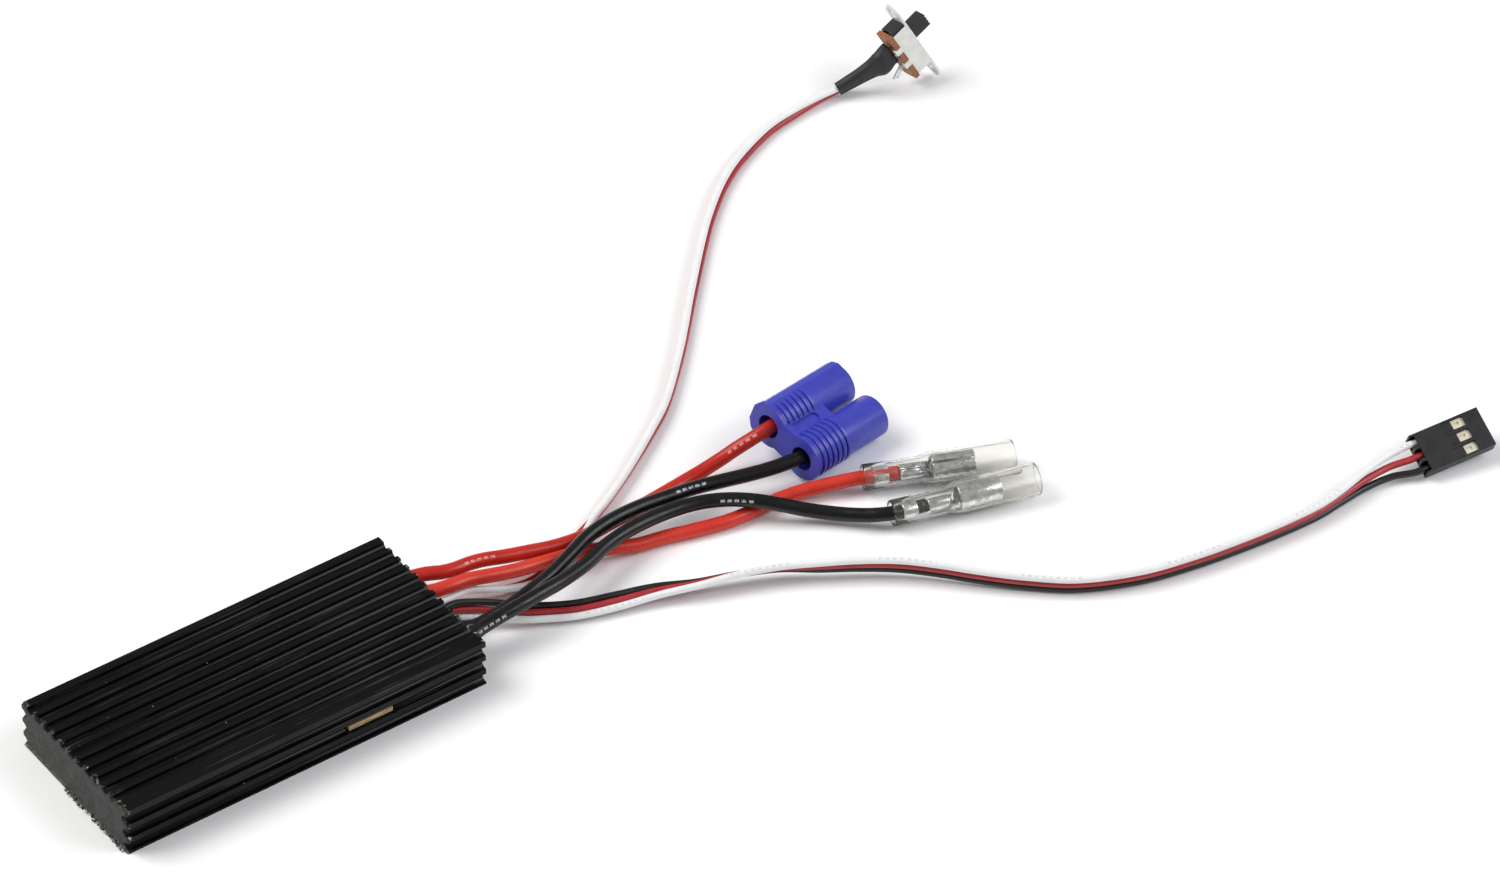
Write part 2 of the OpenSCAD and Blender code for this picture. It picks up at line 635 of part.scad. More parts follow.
module switch_frame() {
    color("#e6e6e2") lay(switch_pose) {
        difference() {
            block([-ear_span / 2, -plate_width / 2, -plate_thickness],
                  [ear_span, plate_width, plate_thickness]);
            for (s = [-1, 1]) translate([s * ear_pitch / 2, 0, -1]) cylinder(h = 2, r = 1.1);
            for (s = [-1, 1], t = [-1, 1]) translate([s * ear_span / 2, t * plate_width / 2, -1])
                rotate([0, 0, 45]) cube([ear_corner, ear_corner, 4], center = true);
            block([slider_rest - knob_half - 0.15, -knob_width / 2 - 0.1, -1],
                  [2 * knob_half + switch_travel + 0.3, knob_width + 0.2, 2]);
        }
        for (s = [-1, 1]) {
            low = s > 0 ? skirt_half - skirt_t : -skirt_half;
            block([-body_half, low, base_z[1] + 0.02],
                  [2 * body_half, skirt_t, -plate_thickness - base_z[1] - 0.02 + eps]);
            for (x = fold_x) {
                block([x - 0.6, low, base_z[0] - skirt_t],
                      [1.2, skirt_t, base_z[1] - base_z[0] + 0.5]);
                block([x - 0.6, s > 0 ? skirt_half - fold : -skirt_half, base_z[0] - skirt_t - 0.02],
                      [1.2, fold, skirt_t]);
            }
        }
    }
}

module switch_base() {
    color("#9a5a2c") lay(switch_pose) difference() {
        block([-body_half - base_over, -skirt_half, base_z[0]],
              [2 * (body_half + base_over), 2 * skirt_half, base_z[1] - base_z[0]]);
        for (s = [-1, 1], x = fold_x)
            block([x - 0.65, s > 0 ? skirt_half - skirt_t - 0.02 : -skirt_half - 1, base_z[0] - 1],
                  [1.3, skirt_t + 1.02, 3]);
        for (t = terminals)
            block([t[0] - 0.5, -0.2, base_z[0] - 1], [1, 0.4, 3]);
    }
}

module switch_terminals() {
    color("#cfcab8") lay(switch_pose) for (t = terminals) translate([t[0], 0, 0]) {
        block([-0.9, -0.7, base_z[1]], [1.8, 1.4, 0.2]);
        block([-0.5, -0.2, tag_z - 0.1], [1, 0.4, base_z[1] - tag_z + 0.1]);
        translate([0, 0, tag_z]) rotate([0, -t[1], 0]) difference() {
            block([-0.5, -0.2, terminal_tip - tag_z], [1, 0.4, tag_z - terminal_tip]);
            translate([0, 1, terminal_tip - tag_z + 0.8]) rotate([90, 0, 0])
                cylinder(h = 2, r = 0.27);
        }
    }
}

module switch_slider() {
    color("#202022") lay(switch_pose) translate([slider_rest, 0, 0]) {
        difference() {
            block([-slider_half, -skirt_half + skirt_t + 0.08, base_z[1] + 0.1],
                  [2 * slider_half, 2 * (skirt_half - skirt_t - 0.08),
                   -plate_thickness - base_z[1] - 0.15]);
            block([-1.9, -0.8, base_z[1]], [3.8, 1.6, 1.7]);
            // the channel that passes over the terminals' heads
            block([-slider_half - 1, -0.8, base_z[1]], [2 * slider_half + 2, 1.6, 0.35]);
        }
        difference() {
            block([-knob_half, -knob_width / 2, -plate_thickness - 0.1],
                  [2 * knob_half, knob_width, plate_thickness + 0.1 + knob_height]);
            for (i = [-1 : 1]) translate([i * 0.75, 0, knob_height])
                rotate([0, 45, 0]) cube([0.3, knob_width + 1, 0.3], center = true);
        }
    }
}

// The sprung bridge that joins two neighbouring terminals
module switch_bridge() {
    color("#d6b45a") lay(switch_pose) translate([slider_rest, 0, 0]) {
        block([-1.8, -0.6, base_z[1] + 1.45], [3.6, 1.2, 0.2]);
        for (s = [-1, 1])
            block([s > 0 ? 1.1 : -1.6, -0.6, base_z[1] + 0.25], [0.5, 1.2, 1.21]);
    }
}

// Shrink tube over the lead's end and two of the terminals: each ring's centre,
// roll, half width and half thickness
shrink_rings = [
    [shrink_lead[0][0], 119, 1.77, 1.09], [shrink_lead[1][0], 114, 1.77, 1.09],
    [shrink_lead[2][0], 106, 1.82, 1.12], [shrink_lead[3][0], 90, 2.25, 1.38],
    [at(switch_pose, [-1.35, 0, terminal_tip]), 72, 2.5, 1.5],
    [at(switch_pose, [-1.55, 0, -6.3]), 72, 2.5, 1.24],
    [at(switch_pose, [-1.6, 0, base_z[0] - skirt_t - 0.1]), 72, 2.45, 1.13]];
shrink_wall = 0.26;
ring_points = 16;

// The points around a flattened ring, its ends half circles
function flat_ring(i, less) =
    let (ring = shrink_rings[i],
         h = heading([for (r = shrink_rings) r[0]], i),
         left = cross([0, 0, 1], h) / norm(cross([0, 0, 1], h)),
         up = cross(h, left),
         wide = cos(ring[1]) * left + sin(ring[1]) * up,
         thick = cross(h, wide),
         r = ring[3] - less,
         off = ring[2] - ring[3],
         arc = ring_points / 2 - 1)
    [for (s = [1, -1], k = [0 : arc])
        let (a = 90 * (2 * k / arc - s))
        ring[0] + (s * off + r * cos(a)) * wide + r * sin(a) * thick];

// Two triangles between ring points a and b of one ring and of the next
function wall_pair(a, b, next) = [[a, a + next, b], [b, a + next, b + next]];

module switch_heatshrink() {
    count = len(shrink_rings);
    points = [for (less = [0, shrink_wall], i = [0 : count - 1]) each flat_ring(i, less)];
    inner = ring_points * count;
    last = ring_points * (count - 1);
    steps = [for (k = [0 : ring_points - 1]) [k, (k + 1) % ring_points]];
    outer_faces = [for (i = [0 : count - 2], s = steps)
        each wall_pair(ring_points * i + s[0], ring_points * i + s[1], ring_points)];
    inner_faces = [for (f = outer_faces) [f[2] + inner, f[1] + inner, f[0] + inner]];
    start_faces = [for (s = steps) each wall_pair(s[1], s[0], inner)];
    end_faces = [for (s = steps) each wall_pair(last + s[0], last + s[1], inner)];
    color("#26272b") polyhedron(points, concat(outer_faces, inner_faces, start_faces, end_faces),
                                convexity = 6);
}

heatsink_case();
potting_compound();
circuit_board();
thermal_pad();
power_mosfets();
gate_driver();
microcontroller();
ceramic_resonator();
voltage_regulator();
flyback_diode();
bulk_capacitors();
chip_capacitors();
chip_resistors();
solder_joints();
battery_wire_positive();
battery_wire_negative();
motor_wire_positive();
motor_wire_negative();
switch_wire_white();
switch_wire_red();
receiver_wire_signal();
receiver_wire_positive();
receiver_wire_negative();
battery_plug_housing();
battery_pin_positive();
battery_pin_negative();
motor_socket_positive();
motor_socket_negative();
motor_sleeve_positive();
motor_sleeve_negative();
receiver_plug_housing();
receiver_plug_contacts();
switch_heatshrink();
switch_frame();
switch_base();
switch_terminals();
switch_slider();
switch_bridge();
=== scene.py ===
"""Looks for a potted electronic speed controller: the CAD model is the frame, and this script makes
the wires, sleeves, sockets, shrink tube, printed marks and materials around it.

Lengths are in millimetres in the row frame, as in part.scad, and become metres as meshes are made.
"""

import json
import math
import random

import bmesh
import bpy
from mathutils import Euler, Matrix, Vector


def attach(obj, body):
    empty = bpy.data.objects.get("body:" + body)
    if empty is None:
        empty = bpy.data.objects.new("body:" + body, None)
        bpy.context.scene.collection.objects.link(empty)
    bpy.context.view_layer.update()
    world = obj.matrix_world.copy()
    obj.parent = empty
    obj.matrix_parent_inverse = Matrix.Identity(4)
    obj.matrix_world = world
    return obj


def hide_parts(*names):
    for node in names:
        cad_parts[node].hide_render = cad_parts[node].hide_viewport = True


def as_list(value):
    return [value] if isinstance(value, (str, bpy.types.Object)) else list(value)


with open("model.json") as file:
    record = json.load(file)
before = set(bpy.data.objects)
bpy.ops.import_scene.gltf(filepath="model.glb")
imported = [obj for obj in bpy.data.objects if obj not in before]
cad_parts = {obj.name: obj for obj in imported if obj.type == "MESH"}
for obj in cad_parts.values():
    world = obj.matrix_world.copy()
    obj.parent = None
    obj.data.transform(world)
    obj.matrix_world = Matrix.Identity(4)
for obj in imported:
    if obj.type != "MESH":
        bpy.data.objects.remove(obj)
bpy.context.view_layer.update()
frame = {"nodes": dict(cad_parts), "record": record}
NODES = frame["nodes"]
BODY = "controller"
MM = 0.001

# ---------------------------------------------------------------- places of the connectors


def pose(place, turn):
    """A connector's own frame, in millimetres: moved to place, turned about x, then y, then z."""
    angles = [math.radians(a) for a in turn]
    return Matrix.Translation(Vector(place)) @ Euler(angles, "XYZ").to_matrix().to_4x4()


# The controller: x runs along the case towards the leads
CASE_START_X = -36.1
CASE_END_X = 36.5
CASE_HEIGHT = 9.8
BOARD_Z = 4.0
POWER_Z = 5.9
WIRE_START_X = 28.6

# The leads
POWER_R = 1.3
STRAND_R = 0.65
STRAND_PITCH = 1.36
PLUG_PITCH = 8.6
CONTACT_PITCH = 2.54
SLEEVE_R = 3.05
TERMINAL_TIP = -7.9

plug_pose = pose((110.8, -1.4, 6.7), (16.5, 4.5, 11))
socket_pos_pose = pose((119, -13.6, SLEEVE_R), (0, 0, -23))
socket_neg_pose = pose((117.5, -24.2, SLEEVE_R), (0, 0, -15.5))
receiver_pose = pose((202.5, -65.9, 3), (27, -6, -9))
switch_pose = pose((195.9, 75.05, 9.3), (-34, 60, -33))
PLUG_WIRE_X = 3.5
SOCKET_WIRE_X = 6.4


def at(frame_matrix, point):
    return frame_matrix @ Vector(point)


# ---------------------------------------------------------------- camera

CAMERA_PLACE = Vector((-519.9, -857.4, 940.7))
CAMERA_AZIMUTH = math.radians(-36.05)
CAMERA_ELEVATION = math.radians(41.27)
CAMERA_ROLL = math.radians(0.5)
LENS_MM = 192


def make_camera():
    data = bpy.data.cameras.new("camera")
    data.lens = LENS_MM
    data.sensor_width = 36
    data.clip_end = 10
    camera = bpy.data.objects.new("camera", data)
    bpy.context.scene.collection.objects.link(camera)
    az, el = CAMERA_AZIMUTH, CAMERA_ELEVATION
    back = Vector((math.sin(az) * math.cos(el), -math.cos(az) * math.cos(el), math.sin(el)))
    right = Vector((math.cos(az), math.sin(az), 0))
    up = back.cross(right)
    rolled_right = math.cos(CAMERA_ROLL) * right + math.sin(CAMERA_ROLL) * up
    rolled_up = math.cos(CAMERA_ROLL) * up - math.sin(CAMERA_ROLL) * right
    turn = Matrix((rolled_right, rolled_up, back)).transposed().to_4x4()
    camera.matrix_world = Matrix.Translation(CAMERA_PLACE * MM) @ turn
    bpy.context.scene.camera = camera


make_camera()

# ---------------------------------------------------------------- material tools


class Surface:
    """One material being built: its node tree, its shader and short ways to add nodes."""

    def __init__(self, name, colour, roughness, **sockets):
        self.material = bpy.data.materials.new(name)
        self.material.use_nodes = True
        self.tree = self.material.node_tree
        self.shader = self.tree.nodes["Principled BSDF"]
        self.set(**{"Base Color": (*colour, 1), "Roughness": roughness}, **sockets)
        self.coords = self.tree.nodes.new("ShaderNodeTexCoord")

    def set(self, **sockets):
        for key, value in sockets.items():
            self.shader.inputs[key].default_value = value

    def node(self, kind, inputs=None, **settings):
        made = self.tree.nodes.new("ShaderNode" + kind)
        for key, value in settings.items():
            setattr(made, key, value)
        for key, value in (inputs or {}).items():
            if isinstance(value, bpy.types.NodeSocket):
                self.tree.links.new(value, made.inputs[key])
            else:
                made.inputs[key].default_value = value
        return made

    def link(self, output, socket):
        self.tree.links.new(output, self.shader.inputs[socket])

    def math(self, operation, a, b=0.0):
        return self.node("Math", {0: a, 1: b}, operation=operation).outputs[0]

    def stretched(self, scale):
        """Object coordinates in millimetres, stretched by scale on each axis."""
        made = self.node(
            "Mapping",
            {"Vector": self.coords.outputs["Object"], "Scale": [s / MM for s in scale]},
        )
        return made.outputs[0]

    def noise(self, size, detail, rough=0.55, stretch=(1, 1, 1)):
        """Noise whose lumps are about size millimetres across."""
        vector = self.stretched([s / size for s in stretch])
        made = self.node(
            "TexNoise",
            {"Vector": vector, "Scale": 1.0, "Detail": detail, "Roughness": rough},
        )
        return made.outputs["Fac"]

    def spread(self, value, low, high, to_low, to_high):
        """to_low at low, to_high at high, as a straight ramp that stops at both ends."""
        ends = {"From Min": low, "From Max": high, "To Min": to_low, "To Max": to_high}
        return self.node("MapRange", {"Value": value, **ends}, clamp=True).outputs["Result"]

    def between(self, value, low, high):
        """0 at low, 1 at high, as a straight ramp that stops at both ends."""
        return self.spread(value, low, high, 0.0, 1.0)

    def near(self, value, middle, reach):
        """1 where value is less than reach away from middle."""
        off = self.math("ABSOLUTE", self.math("SUBTRACT", value, middle))
        return self.math("LESS_THAN", off, reach)

    def place(self):
        """The object's own x, y and z in millimetres."""
        return self.node("SeparateXYZ", {0: self.stretched((1, 1, 1))}).outputs

    def mix(self, factor, first, second):
        made = self.node("Mix", data_type="RGBA")
        for socket, value in ((0, factor), (6, first), (7, second)):
            if isinstance(value, bpy.types.NodeSocket):
                self.tree.links.new(value, made.inputs[socket])
            elif isinstance(value, tuple):
                made.inputs[socket].default_value = (*value, 1)
            else:
                made.inputs[socket].default_value = value
        return made.outputs[2]

    def bump(self, height, depth):
        """Bump of depth millimetres, laid over whatever bump there is already."""
        made = self.node("Bump", {"Height": height, "Distance": depth * MM, "Strength": 1.0})
        old = self.shader.inputs["Normal"].links
        if old:
            self.tree.links.new(old[0].from_socket, made.inputs["Normal"])
        self.link(made.outputs[0], "Normal")

    def specks(self, cell, radius, share):
        """1 inside rare small dots: one in about 1/share cells of cell millimetres has a dot."""
        made = self.node("TexVoronoi", {"Vector": self.stretched([1 / cell] * 3), "Scale": 1.0})
        dot = self.math("LESS_THAN", made.outputs["Distance"], radius / cell)
        red = self.node("SeparateColor", {0: made.outputs["Color"]}).outputs[0]
        chosen = self.math("LESS_THAN", red, share)
        return self.math("MULTIPLY", dot, chosen)

    def along_across(self):
        """The wire's own coordinates: millimetres along it, and turns around it."""
        made = self.node("SeparateXYZ", {0: self.coords.outputs["UV"]})
        return made.outputs[0], made.outputs[1]


# ---------------------------------------------------------------- materials


def anodised():
    """Black anodised extrusion: die lines along it, faint light streaks that are partly rub marks
    and partly painted highlight, dust and bare nicks.
    """
    s = Surface("anodised_case", (0.002, 0.002, 0.0022), 0.3)
    s.set(**{"Specular IOR Level": 0.16})
    die_lines = s.noise(0.22, detail=2, stretch=(0.012, 1, 1))
    cloud = s.noise(7, detail=4)
    s.link(s.spread(s.math("ADD", die_lines, cloud), 0.6, 1.4, 0.2, 0.34), "Roughness")
    tone = s.mix(cloud, (0.0016, 0.0016, 0.0018), (0.0034, 0.0034, 0.0036))
    # Light streaks along the case: partly rub marks, partly a painted highlight that stands in for
    # the thin light lines on the crests.
    rub_and_highlight_streaks = s.noise(0.24, detail=2, stretch=(0.008, 1, 1))
    rub_and_highlight_place = s.between(s.noise(9, detail=2), 0.44, 0.58)
    rub_and_highlight_mask = s.math("MULTIPLY", s.between(rub_and_highlight_streaks, 0.6, 0.7), rub_and_highlight_place)
    tone = s.mix(s.math("MULTIPLY", rub_and_highlight_mask, 0.5), tone, (0.09, 0.09, 0.088))
    dust = s.math("MAXIMUM", s.specks(2.6, 0.13, 0.06), s.specks(1.1, 0.06, 0.07))
    tone = s.mix(s.math("MULTIPLY", dust, 0.7), tone, (0.35, 0.35, 0.33))
    along, _, height = s.place()
    blind_end = s.between(along, CASE_START_X + 0.75, CASE_START_X + 0.1)
    lead_end = s.between(along, CASE_END_X - 0.7, CASE_END_X - 0.1)
    high = s.between(height, CASE_HEIGHT - 1.6, CASE_HEIGHT - 0.6)
    worn = s.between(s.noise(1.1, detail=5, rough=0.65), 0.53, 0.6)
    bright = s.between(s.noise(0.8, detail=2), 0.5, 0.66)
    ends = s.math("MAXIMUM", blind_end, s.math("MULTIPLY", lead_end, high))
    nick = s.math("MULTIPLY", ends, worn)
    tone = s.mix(nick, tone, s.mix(bright, (0.07, 0.065, 0.06), (0.55, 0.54, 0.5)))
    s.link(tone, "Base Color")
    s.link(s.math("MULTIPLY", nick, 0.3), "Metallic")
    s.bump(die_lines, 0.012)
    s.bump(s.noise(0.12, detail=2), 0.003)
    return s.material


def resin():
    """Cast resin: dark grey, matt, mottled, with fine pits and pale grit low on its ends."""
    s = Surface("potting_resin", (0.03, 0.03, 0.03), 0.75)
    s.set(**{"Specular IOR Level": 0.3})
    mottle = s.noise(1.2, detail=6, rough=0.72)
    tone = s.mix(s.between(mottle, 0.32, 0.7), (0.014, 0.014, 0.014), (0.075, 0.073, 0.07))
    low_down = s.between(s.place()[2], 1.6, 0.3)
    pale = s.math("MULTIPLY", low_down, s.between(s.noise(0.5, detail=4), 0.5, 0.6))
    tone = s.mix(s.math("MULTIPLY", pale, 0.8), tone, (0.3, 0.29, 0.27))
    grit = s.specks(0.55, 0.07, 0.22)
    tone = s.mix(s.math("MULTIPLY", grit, 0.6), tone, (0.24, 0.24, 0.23))
    s.link(tone, "Base Color")
    s.link(s.spread(mottle, 0.3, 0.7, 0.6, 0.9), "Roughness")
    s.bump(s.noise(0.35, detail=5, rough=0.7), 0.12)
    s.bump(s.noise(3, detail=3), 0.25)
    return s.material


def silicone(name, colour, dark, print_colour, ink_share=0.5):
    """Soft silicone: satin, slightly dusty, with a short run of plain printed dashes along it."""
    s = Surface(name, colour, 0.36)
    s.set(**{"Specular IOR Level": 0.36, "Sheen Weight": 0.01, "Sheen Roughness": 0.4})
    cloud = s.noise(5, detail=4)
    tone = s.mix(s.between(cloud, 0.3, 0.7), dark, colour)
    run_every, run_length, dash_every, dash_length = 57.0, 6.2, 1.3, 0.85
    along, around = s.along_across()
    run = s.math("MODULO", along, run_every)
    started = s.math("GREATER_THAN", run, 0.0)
    in_run = s.math("MULTIPLY", s.math("LESS_THAN", run, run_length), started)
    dash = s.math("LESS_THAN", s.math("MODULO", run, dash_every), dash_length)
    ink = s.math("MULTIPLY", s.math("MULTIPLY", in_run, dash), s.near(around, 0.5, 0.03))
    ink = s.math("MULTIPLY", ink, s.between(s.noise(0.35, detail=3), 0.36, 0.5))
    tone = s.mix(s.math("MULTIPLY", ink, ink_share), tone, print_colour)
    lint = s.specks(1.3, 0.035, 0.08)
    tone = s.mix(s.math("MULTIPLY", lint, 0.3), tone, (0.5, 0.48, 0.46))
    s.link(tone, "Base Color")
    s.link(s.spread(s.noise(2, detail=4), 0.3, 0.7, 0.22, 0.38), "Roughness")
    s.bump(s.noise(0.5, detail=3), 0.01)
    s.bump(s.noise(6, detail=2), 0.12)
    return s.material


def strand(name, colour, dark, print_colour=None):
    """Thin PVC insulation: smooth, a little glossy, printed with small plain dashes or not."""
    s = Surface(name, colour, 0.34)
    tone = s.mix(s.between(s.noise(3, detail=4), 0.3, 0.7), dark, colour)
    if print_colour:
        run_every, run_length, dash_every, dash_length = 26.0, 11.0, 1.25, 0.6
        along, around = s.along_across()
        in_run = s.math("LESS_THAN", s.math("MODULO", along, run_every), run_length)
        dash = s.math("LESS_THAN", s.math("MODULO", along, dash_every), dash_length)
        ink = s.math("MULTIPLY", s.math("MULTIPLY", in_run, dash), s.near(around, 0.5, 0.05))
        ink = s.math("MULTIPLY", ink, s.between(s.noise(0.3, detail=3), 0.36, 0.5))
        tone = s.mix(s.math("MULTIPLY", ink, 0.45), tone, print_colour)
    s.link(tone, "Base Color")
    s.link(s.spread(s.noise(1.5, detail=3), 0.3, 0.7, 0.27, 0.42), "Roughness")
    s.bump(s.noise(0.4, detail=3), 0.006)
    s.bump(s.noise(4, detail=2), 0.08)
    return s.material


def moulded(name, colour, dark, roughness, grain=0.25, depth=0.012):
    """Moulded plastic: a fine spark-eroded grain, slight tone shifts and handling smudges."""
    s = Surface(name, colour, roughness)
    tone = s.mix(s.between(s.noise(4, detail=5), 0.3, 0.7), dark, colour)
    s.link(tone, "Base Color")
    smudge = s.noise(2.5, detail=5, rough=0.65)
    s.link(s.spread(smudge, 0.3, 0.7, roughness - 0.08, roughness + 0.1), "Roughness")
    s.bump(s.noise(grain, detail=3), depth)
    s.bump(s.noise(3, detail=2), 0.05)
    return s.material


def plated(name, colour, dark, roughness, dents=0.05):
    """Plated metal: bright, with soft dents, a cloud that is partly tarnish and partly painted dark
    reflection, and fine drawing lines.
    """
    s = Surface(name, colour, roughness, Metallic=1.0)
    tarnish_and_reflection = s.noise(1.2, detail=5, rough=0.65)
    # The dark patches are partly tarnish and partly a painted dark reflection, which gives the
    # metal its dark and bright contrast.
    s.link(s.mix(s.between(tarnish_and_reflection, 0.35, 0.75), colour, dark), "Base Color")
    s.link(s.spread(tarnish_and_reflection, 0.3, 0.7, roughness - 0.06, roughness + 0.18), "Roughness")
    s.bump(s.noise(0.9, detail=2), dents)
    s.bump(s.noise(0.12, detail=2), 0.004)
    return s.material


def clear_sleeve():
    """Soft clear vinyl: clear, faintly yellow, with a barely wavy skin."""
    s = Surface("clear_sleeve", (0.98, 0.975, 0.945), 0.05)
    s.set(**{"Transmission Weight": 0.975, "IOR": 1.3, "Specular IOR Level": 0.5})
    s.link(s.spread(s.noise(2.5, detail=3), 0.3, 0.7, 0.02, 0.08), "Roughness")
    s.bump(s.noise(2.2, detail=1), 0.03)
    return s.material


def sheet(name, colour, dark, roughness, metallic):
    """Dull plated sheet: partly metallic, cloudy, with fine scuffs."""
    s = Surface(name, colour, roughness, Metallic=metallic)
    cloud = s.noise(1.6, detail=5, rough=0.65)
    s.link(s.mix(s.between(cloud, 0.35, 0.75), colour, dark), "Base Color")
    s.link(s.spread(cloud, 0.3, 0.7, roughness - 0.08, roughness + 0.12), "Roughness")
    s.bump(s.noise(0.8, detail=3), 0.02)
    return s.material


def phenolic():
    """Brown paper phenolic board, slightly mottled."""
    s = Surface("phenolic_board", (0.2, 0.07, 0.02), 0.5)
    fibres = s.noise(0.5, detail=5, rough=0.7)
    tone = s.mix(s.between(fibres, 0.3, 0.7), (0.18, 0.06, 0.017), (0.36, 0.14, 0.045))
    s.link(tone, "Base Color")
    s.bump(fibres, 0.02)
    return s.material


def laminate():
    """Glass laminate: green, but tan with a copper line at the tab's edge in the case's slot."""
    copper_z = BOARD_Z + 0.42
    tab_edge_y = -15.0
    s = Surface("board_laminate", (0.35, 0.27, 0.12), 0.55)
    fibres = s.noise(0.35, detail=4, stretch=(0.15, 1, 1))
    edge = s.mix(s.between(fibres, 0.35, 0.65), (0.22, 0.16, 0.07), (0.5, 0.4, 0.2))
    _, across, height = s.place()
    edge = s.mix(s.near(height, copper_z, 0.06), edge, (0.55, 0.23, 0.08))
    mask = s.math("GREATER_THAN", across, tab_edge_y)
    s.link(s.mix(mask, edge, (0.015, 0.06, 0.025)), "Base Color")
    s.bump(fibres, 0.03)
    return s.material


MATERIALS = {
    "case_anodised": anodised(),
    "resin": resin(),
    "board_laminate": laminate(),
    "silicone_pad": moulded("silicone_pad", (0.27, 0.35, 0.42), (0.22, 0.29, 0.36), 0.7),
    "chip_package": moulded("chip_package", (0.012, 0.012, 0.013), (0.008, 0.008, 0.009), 0.55),
    "ceramic": moulded("ceramic", (0.35, 0.28, 0.18), (0.28, 0.22, 0.14), 0.5),
    "tantalum_case": moulded("tantalum_case", (0.55, 0.27, 0.04), (0.45, 0.22, 0.03), 0.5),
    "solder": plated("solder", (0.75, 0.76, 0.78), (0.5, 0.5, 0.52), 0.25),
    "silicone_red": silicone(
        "silicone_red", (0.52, 0.024, 0.013), (0.42, 0.016, 0.009), (0.9, 0.6, 0.55)),
    "silicone_black": silicone(
        "silicone_black", (0.004, 0.004, 0.0045), (0.0025, 0.0025, 0.003), (0.6, 0.62, 0.65), 0.7),
    "lead_white": strand(
        "lead_white", (0.84, 0.845, 0.85), (0.78, 0.785, 0.79), (0.42, 0.42, 0.46)),
    "lead_red": strand("lead_red", (0.42, 0.028, 0.034), (0.34, 0.02, 0.025)),
    "lead_black": strand("lead_black", (0.009, 0.009, 0.01), (0.006, 0.006, 0.007)),
    "plug_nylon_blue": moulded("plug_nylon_blue", (0.042, 0.05, 0.45), (0.034, 0.04, 0.38), 0.36),
    "gold_plate": plated("gold_plate", (0.9, 0.72, 0.36), (0.7, 0.5, 0.2), 0.2, 0.02),
    # Tin plate: the dark colour in its patches is mostly a painted dark reflection, with some
    # tarnish.
    "tin_plate": plated("tin_plate", (0.94, 0.96, 0.97), (0.34, 0.37, 0.38), 0.2, 0.06),
    "clear_pvc": clear_sleeve(),
    "plug_black": moulded("plug_black", (0.008, 0.008, 0.009), (0.005, 0.005, 0.006), 0.42),
    "shrink_black": moulded(
        "shrink_black", (0.012, 0.012, 0.015), (0.009, 0.009, 0.011), 0.55, 0.5, 0.03),
    "switch_steel": sheet("switch_steel", (0.76, 0.76, 0.73), (0.64, 0.64, 0.6), 0.45, 0.3),
    "phenolic_brown": phenolic(),
    "knob_black": moulded("knob_black", (0.013, 0.013, 0.014), (0.009, 0.009, 0.01), 0.5),
    "spring_brass": plated("spring_brass", (0.8, 0.6, 0.3), (0.6, 0.42, 0.2), 0.25),
}

# ---------------------------------------------------------------- mesh tools


def smooth_line(points, step=1.2):
    """A smooth curve through points, about step apart, each point a Vector of any size."""
    ends = [2 * points[0] - points[1]] + list(points) + [2 * points[-1] - points[-2]]
    line = []
    for p0, p1, p2, p3 in zip(ends, ends[1:], ends[2:], ends[3:]):
        count = max(1, round((p2 - p1).length / step))
        for i in range(count):
            t = i / count
            line.append(
                0.5 * (2 * p1 + (p2 - p0) * t + (2 * p0 - 5 * p1 + 4 * p2 - p3) * t**2
                       + (3 * p1 - p0 - 3 * p2 + p3) * t**3)
            )
    line.append(points[-1].copy())
    return line


def frames(line):
    """(ahead, left, up) at each point of a line of 3-D points."""
    result = []
    for i in range(len(line)):
        ahead = (line[min(i + 1, len(line) - 1)] - line[max(i - 1, 0)]).normalized()
        left = Vector((0, 0, 1)).cross(ahead).normalized()
        result.append((ahead, left, ahead.cross(left)))
    return result


def line_length(line):
    return sum((b - a).length for a, b in zip(line, line[1:]))


def add_piece(name, bm, slot, replaces=(), smooth=True):
    """Turns a bmesh in millimetres into a piece with the slot's material, riding on the case."""
    bmesh.ops.recalc_face_normals(bm, faces=bm.faces)
    bmesh.ops.transform(bm, matrix=Matrix.Scale(MM, 4), verts=bm.verts)
    mesh = bpy.data.meshes.new(name)
    for face in bm.faces:
        face.smooth = smooth
    bm.to_mesh(mesh)
    bm.free()
    piece = bpy.data.objects.new(name, mesh)
    bpy.context.scene.collection.objects.link(piece)
    mesh.materials.append(MATERIALS[slot])
    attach(piece, BODY)
    if replaces:
        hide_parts(*replaces)
    return piece


def add_rings(bm, rings, caps=True):
    """Faces between closed rings of points; returns the rings' vertices."""
    made = [[bm.verts.new(p) for p in ring] for ring in rings]
    for first, second in zip(made, made[1:]):
        count = len(first)
        for k in range(count):
            bm.faces.new((first[k], first[(k + 1) % count], second[(k + 1) % count], second[k]))
    if caps:
        bm.faces.new(list(reversed(made[0])))
        bm.faces.new(made[-1])
    return made


def add_hollow(bm, rings):
    """A wall whose rings run along its outside, back along its inside and join up."""
    made = add_rings(bm, rings, caps=False)
    count = len(made[0])
    for k in range(count):
        n = (k + 1) % count
        bm.faces.new((made[-1][k], made[-1][n], made[0][n], made[0][k]))


WIRE_SIDES = 24


